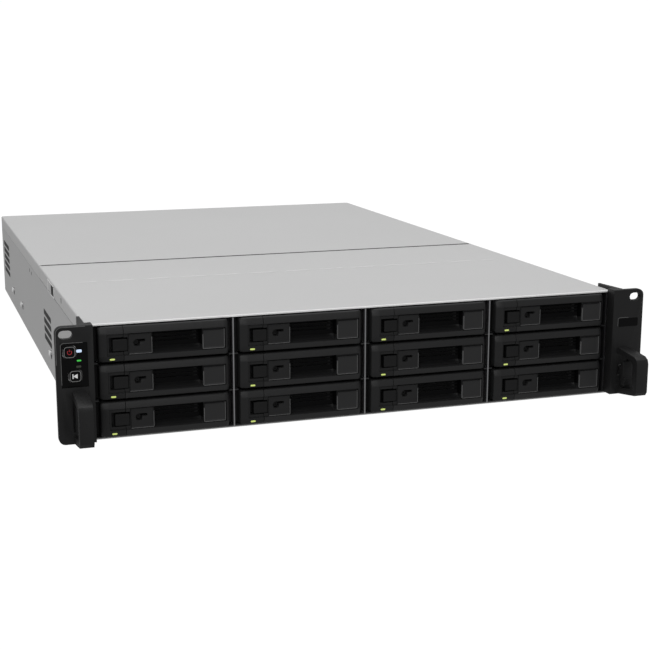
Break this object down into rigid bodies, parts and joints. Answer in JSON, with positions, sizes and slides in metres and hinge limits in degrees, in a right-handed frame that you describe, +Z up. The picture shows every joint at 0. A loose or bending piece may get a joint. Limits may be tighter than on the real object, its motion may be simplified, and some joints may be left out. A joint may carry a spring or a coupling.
{
  "type": "network attached storage",
  "caption": "Rack-mount network attached storage unit in grey steel with black hot-swap drive trays, rack ears and pull handles.",
  "frame": {"origin": "middle of the footprint, handles and pull bars included, level with the chassis underside", "axes": "+X to the unit's right as seen from the front, +Y from front to rear, +Z up"},
  "size_m": [0.4826, 0.714, 0.0901],
  "materials": {
    "coated_steel": "satin powder coat",
    "zinc_steel": "zinc plated",
    "module_casing": "plated sheet",
    "tray_plastic": "fine matt grain",
    "ear_plastic": "fine matt grain",
    "window_gloss": "gloss",
    "button_plastic": "matt",
    "board_green": "solder mask",
    "fan_plastic": "matt",
    "fin_aluminium": "extruded"
  },
  "bodies": {
    "chassis": {"chassis_pan": "coated_steel", "front_cover": "coated_steel", "bay_cage": "zinc_steel", "backplane": "board_green", "fan_wall": "fan_plastic", "main_board": "board_green", "heatsink": "fin_aluminium", "rear_ports": "zinc_steel", "left_ear": "ear_plastic", "right_ear": "ear_plastic", "control_window": "window_gloss"},
    "rear_cover": {"rear_cover": "coated_steel"},
    "fan_rotor_1": {"fan_rotor_1": "fan_plastic"},
    "fan_rotor_2": {"fan_rotor_2": "fan_plastic"},
    "fan_rotor_3": {"fan_rotor_3": "fan_plastic"},
    "fan_rotor_4": {"fan_rotor_4": "fan_plastic"},
    "power_supply_1": {"power_supply_1": "module_casing"},
    "power_supply_latch_1": {"power_supply_latch_1": "button_plastic"},
    "power_supply_2": {"power_supply_2": "module_casing"},
    "power_supply_latch_2": {"power_supply_latch_2": "button_plastic"},
    "left_trigger": {"left_trigger": "ear_plastic"},
    "right_trigger": {"right_trigger": "ear_plastic"},
    "power_button": {"power_button": "button_plastic"},
    "mute_button": {"mute_button": "button_plastic"},
    "tray_r3_c1": {"tray_r3_c1": "tray_plastic"},
    "lever_r3_c1": {"lever_r3_c1": "tray_plastic"},
    "release_r3_c1": {"release_r3_c1": "button_plastic"},
    "tray_r3_c2": {"tray_r3_c2": "tray_plastic"},
    "lever_r3_c2": {"lever_r3_c2": "tray_plastic"},
    "release_r3_c2": {"release_r3_c2": "button_plastic"},
    "tray_r3_c3": {"tray_r3_c3": "tray_plastic"},
    "lever_r3_c3": {"lever_r3_c3": "tray_plastic"},
    "release_r3_c3": {"release_r3_c3": "button_plastic"},
    "tray_r3_c4": {"tray_r3_c4": "tray_plastic"},
    "lever_r3_c4": {"lever_r3_c4": "tray_plastic"},
    "release_r3_c4": {"release_r3_c4": "button_plastic"},
    "tray_r2_c1": {"tray_r2_c1": "tray_plastic"},
    "lever_r2_c1": {"lever_r2_c1": "tray_plastic"},
    "release_r2_c1": {"release_r2_c1": "button_plastic"},
    "tray_r2_c2": {"tray_r2_c2": "tray_plastic"},
    "lever_r2_c2": {"lever_r2_c2": "tray_plastic"},
    "release_r2_c2": {"release_r2_c2": "button_plastic"},
    "tray_r2_c3": {"tray_r2_c3": "tray_plastic"},
    "lever_r2_c3": {"lever_r2_c3": "tray_plastic"},
    "release_r2_c3": {"release_r2_c3": "button_plastic"},
    "tray_r2_c4": {"tray_r2_c4": "tray_plastic"},
    "lever_r2_c4": {"lever_r2_c4": "tray_plastic"},
    "release_r2_c4": {"release_r2_c4": "button_plastic"},
    "tray_r1_c1": {"tray_r1_c1": "tray_plastic"},
    "lever_r1_c1": {"lever_r1_c1": "tray_plastic"},
    "release_r1_c1": {"release_r1_c1": "button_plastic"},
    "tray_r1_c2": {"tray_r1_c2": "tray_plastic"},
    "lever_r1_c2": {"lever_r1_c2": "tray_plastic"},
    "release_r1_c2": {"release_r1_c2": "button_plastic"},
    "tray_r1_c3": {"tray_r1_c3": "tray_plastic"},
    "lever_r1_c3": {"lever_r1_c3": "tray_plastic"},
    "release_r1_c3": {"release_r1_c3": "button_plastic"},
    "tray_r1_c4": {"tray_r1_c4": "tray_plastic"},
    "lever_r1_c4": {"lever_r1_c4": "tray_plastic"},
    "release_r1_c4": {"release_r1_c4": "button_plastic"}
  },
  "joints": [
    {"name": "rear_cover_lift", "type": "slide", "parent": "chassis", "child": "rear_cover", "axis": [0, 0, 1], "range_m": [0, 0.09]},
    {"name": "fan_spin_1", "type": "hinge", "parent": "chassis", "child": "fan_rotor_1", "pos_m": [-0.126, -0.093, 0.0435], "axis": [0, 1, 0], "continuous": true},
    {"name": "fan_spin_2", "type": "hinge", "parent": "chassis", "child": "fan_rotor_2", "pos_m": [-0.042, -0.093, 0.0435], "axis": [0, 1, 0], "continuous": true},
    {"name": "fan_spin_3", "type": "hinge", "parent": "chassis", "child": "fan_rotor_3", "pos_m": [0.042, -0.093, 0.0435], "axis": [0, 1, 0], "continuous": true},
    {"name": "fan_spin_4", "type": "hinge", "parent": "chassis", "child": "fan_rotor_4", "pos_m": [0.126, -0.093, 0.0435], "axis": [0, 1, 0], "continuous": true},
    {"name": "power_supply_slide_1", "type": "slide", "parent": "chassis", "child": "power_supply_1", "axis": [0, 1, 0], "range_m": [0, 0.18]},
    {"name": "power_supply_latch_push_1", "type": "slide", "parent": "power_supply_1", "child": "power_supply_latch_1", "axis": [1, 0, 0], "range_m": [0, 0.005], "stiffness_N_per_m": 300},
    {"name": "power_supply_slide_2", "type": "slide", "parent": "chassis", "child": "power_supply_2", "axis": [0, 1, 0], "range_m": [0, 0.18]},
    {"name": "power_supply_latch_push_2", "type": "slide", "parent": "power_supply_2", "child": "power_supply_latch_2", "axis": [1, 0, 0], "range_m": [0, 0.005], "stiffness_N_per_m": 300},
    {"name": "left_trigger_pull", "type": "slide", "parent": "chassis", "child": "left_trigger", "axis": [0, -1, 0], "range_m": [0, 0.005], "stiffness_N_per_m": 400},
    {"name": "right_trigger_pull", "type": "slide", "parent": "chassis", "child": "right_trigger", "axis": [0, -1, 0], "range_m": [0, 0.005], "stiffness_N_per_m": 400},
    {"name": "power_button_press", "type": "slide", "parent": "chassis", "child": "power_button", "axis": [0, 1, 0], "range_m": [0, 0.0008], "stiffness_N_per_m": 900},
    {"name": "mute_button_press", "type": "slide", "parent": "chassis", "child": "mute_button", "axis": [0, 1, 0], "range_m": [0, 0.0008], "stiffness_N_per_m": 900},
    {"name": "tray_slide_r3_c1", "type": "slide", "parent": "chassis", "child": "tray_r3_c1", "axis": [0, -1, 0], "range_m": [0, 0.16]},
    {"name": "lever_turn_r3_c1", "type": "hinge", "parent": "tray_r3_c1", "child": "lever_r3_c1", "pos_m": [-0.115, -0.316, 0.0159], "axis": [0, 0, 1], "range_deg": [0, 55]},
    {"name": "release_press_r3_c1", "type": "slide", "parent": "tray_r3_c1", "child": "release_r3_c1", "axis": [0, 1, 0], "range_m": [0, 0.002], "stiffness_N_per_m": 300},
    {"name": "tray_slide_r3_c2", "type": "slide", "parent": "chassis", "child": "tray_r3_c2", "axis": [0, -1, 0], "range_m": [0, 0.16]},
    {"name": "lever_turn_r3_c2", "type": "hinge", "parent": "tray_r3_c2", "child": "lever_r3_c2", "pos_m": [-0.0084, -0.316, 0.0159], "axis": [0, 0, 1], "range_deg": [0, 55]},
    {"name": "release_press_r3_c2", "type": "slide", "parent": "tray_r3_c2", "child": "release_r3_c2", "axis": [0, 1, 0], "range_m": [0, 0.002], "stiffness_N_per_m": 300},
    {"name": "tray_slide_r3_c3", "type": "slide", "parent": "chassis", "child": "tray_r3_c3", "axis": [0, -1, 0], "range_m": [0, 0.16]},
    {"name": "lever_turn_r3_c3", "type": "hinge", "parent": "tray_r3_c3", "child": "lever_r3_c3", "pos_m": [0.0982, -0.316, 0.0159], "axis": [0, 0, 1], "range_deg": [0, 55]},
    {"name": "release_press_r3_c3", "type": "slide", "parent": "tray_r3_c3", "child": "release_r3_c3", "axis": [0, 1, 0], "range_m": [0, 0.002], "stiffness_N_per_m": 300},
    {"name": "tray_slide_r3_c4", "type": "slide", "parent": "chassis", "child": "tray_r3_c4", "axis": [0, -1, 0], "range_m": [0, 0.16]},
    {"name": "lever_turn_r3_c4", "type": "hinge", "parent": "tray_r3_c4", "child": "lever_r3_c4", "pos_m": [0.2048, -0.316, 0.0159], "axis": [0, 0, 1], "range_deg": [0, 55]},
    {"name": "release_press_r3_c4", "type": "slide", "parent": "tray_r3_c4", "child": "release_r3_c4", "axis": [0, 1, 0], "range_m": [0, 0.002], "stiffness_N_per_m": 300},
    {"name": "tray_slide_r2_c1", "type": "slide", "parent": "chassis", "child": "tray_r2_c1", "axis": [0, -1, 0], "range_m": [0, 0.16]},
    {"name": "lever_turn_r2_c1", "type": "hinge", "parent": "tray_r2_c1", "child": "lever_r2_c1", "pos_m": [-0.115, -0.316, 0.0443], "axis": [0, 0, 1], "range_deg": [0, 55]},
    {"name": "release_press_r2_c1", "type": "slide", "parent": "tray_r2_c1", "child": "release_r2_c1", "axis": [0, 1, 0], "range_m": [0, 0.002], "stiffness_N_per_m": 300},
    {"name": "tray_slide_r2_c2", "type": "slide", "parent": "chassis", "child": "tray_r2_c2", "axis": [0, -1, 0], "range_m": [0, 0.16]},
    {"name": "lever_turn_r2_c2", "type": "hinge", "parent": "tray_r2_c2", "child": "lever_r2_c2", "pos_m": [-0.0084, -0.316, 0.0443], "axis": [0, 0, 1], "range_deg": [0, 55]},
    {"name": "release_press_r2_c2", "type": "slide", "parent": "tray_r2_c2", "child": "release_r2_c2", "axis": [0, 1, 0], "range_m": [0, 0.002], "stiffness_N_per_m": 300},
    {"name": "tray_slide_r2_c3", "type": "slide", "parent": "chassis", "child": "tray_r2_c3", "axis": [0, -1, 0], "range_m": [0, 0.16]},
    {"name": "lever_turn_r2_c3", "type": "hinge", "parent": "tray_r2_c3", "child": "lever_r2_c3", "pos_m": [0.0982, -0.316, 0.0443], "axis": [0, 0, 1], "range_deg": [0, 55]},
    {"name": "release_press_r2_c3", "type": "slide", "parent": "tray_r2_c3", "child": "release_r2_c3", "axis": [0, 1, 0], "range_m": [0, 0.002], "stiffness_N_per_m": 300},
    {"name": "tray_slide_r2_c4", "type": "slide", "parent": "chassis", "child": "tray_r2_c4", "axis": [0, -1, 0], "range_m": [0, 0.16]},
    {"name": "lever_turn_r2_c4", "type": "hinge", "parent": "tray_r2_c4", "child": "lever_r2_c4", "pos_m": [0.2048, -0.316, 0.0443], "axis": [0, 0, 1], "range_deg": [0, 55]},
    {"name": "release_press_r2_c4", "type": "slide", "parent": "tray_r2_c4", "child": "release_r2_c4", "axis": [0, 1, 0], "range_m": [0, 0.002], "stiffness_N_per_m": 300},
    {"name": "tray_slide_r1_c1", "type": "slide", "parent": "chassis", "child": "tray_r1_c1", "axis": [0, -1, 0], "range_m": [0, 0.16]},
    {"name": "lever_turn_r1_c1", "type": "hinge", "parent": "tray_r1_c1", "child": "lever_r1_c1", "pos_m": [-0.115, -0.316, 0.0727], "axis": [0, 0, 1], "range_deg": [0, 55]},
    {"name": "release_press_r1_c1", "type": "slide", "parent": "tray_r1_c1", "child": "release_r1_c1", "axis": [0, 1, 0], "range_m": [0, 0.002], "stiffness_N_per_m": 300},
    {"name": "tray_slide_r1_c2", "type": "slide", "parent": "chassis", "child": "tray_r1_c2", "axis": [0, -1, 0], "range_m": [0, 0.16]},
    {"name": "lever_turn_r1_c2", "type": "hinge", "parent": "tray_r1_c2", "child": "lever_r1_c2", "pos_m": [-0.0084, -0.316, 0.0727], "axis": [0, 0, 1], "range_deg": [0, 55]},
    {"name": "release_press_r1_c2", "type": "slide", "parent": "tray_r1_c2", "child": "release_r1_c2", "axis": [0, 1, 0], "range_m": [0, 0.002], "stiffness_N_per_m": 300},
    {"name": "tray_slide_r1_c3", "type": "slide", "parent": "chassis", "child": "tray_r1_c3", "axis": [0, -1, 0], "range_m": [0, 0.16]},
    {"name": "lever_turn_r1_c3", "type": "hinge", "parent": "tray_r1_c3", "child": "lever_r1_c3", "pos_m": [0.0982, -0.316, 0.0727], "axis": [0, 0, 1], "range_deg": [0, 55]},
    {"name": "release_press_r1_c3", "type": "slide", "parent": "tray_r1_c3", "child": "release_r1_c3", "axis": [0, 1, 0], "range_m": [0, 0.002], "stiffness_N_per_m": 300},
    {"name": "tray_slide_r1_c4", "type": "slide", "parent": "chassis", "child": "tray_r1_c4", "axis": [0, -1, 0], "range_m": [0, 0.16]},
    {"name": "lever_turn_r1_c4", "type": "hinge", "parent": "tray_r1_c4", "child": "lever_r1_c4", "pos_m": [0.2048, -0.316, 0.0727], "axis": [0, 0, 1], "range_deg": [0, 55]},
    {"name": "release_press_r1_c4", "type": "slide", "parent": "tray_r1_c4", "child": "release_r1_c4", "axis": [0, 1, 0], "range_m": [0, 0.002], "stiffness_N_per_m": 300}
  ]
}
